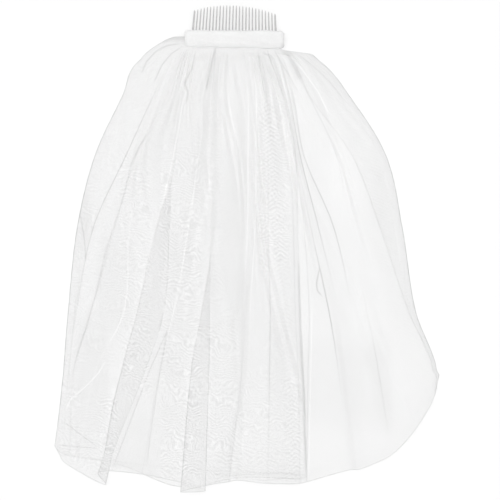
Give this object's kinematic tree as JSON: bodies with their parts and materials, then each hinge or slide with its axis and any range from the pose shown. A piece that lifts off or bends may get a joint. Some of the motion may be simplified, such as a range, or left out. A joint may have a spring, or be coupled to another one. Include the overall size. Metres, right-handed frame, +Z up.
{
  "type": "tulle bridal veil",
  "caption": "Soft net bridal veil gathered into a cloth band on a clear hair comb, laid flat with a doubled back.",
  "frame": {"origin": "middle of the laid out veil on the surface it lies on", "axes": "+Y from the hem towards the comb teeth, +X to the right as seen from above, +Z up from the surface"},
  "size_m": [0.4033, 0.5088, 0.0267],
  "materials": {
    "clear_plastic": "clear moulded plastic, slightly grey",
    "band_cloth": "soft matt white felted ribbon",
    "tulle_net": "fine white hexagonal net, see-through"
  },
  "bodies": {
    "root": {"comb": "clear_plastic", "band": "band_cloth", "tulle": "tulle_net"}
  },
  "joints": []
}
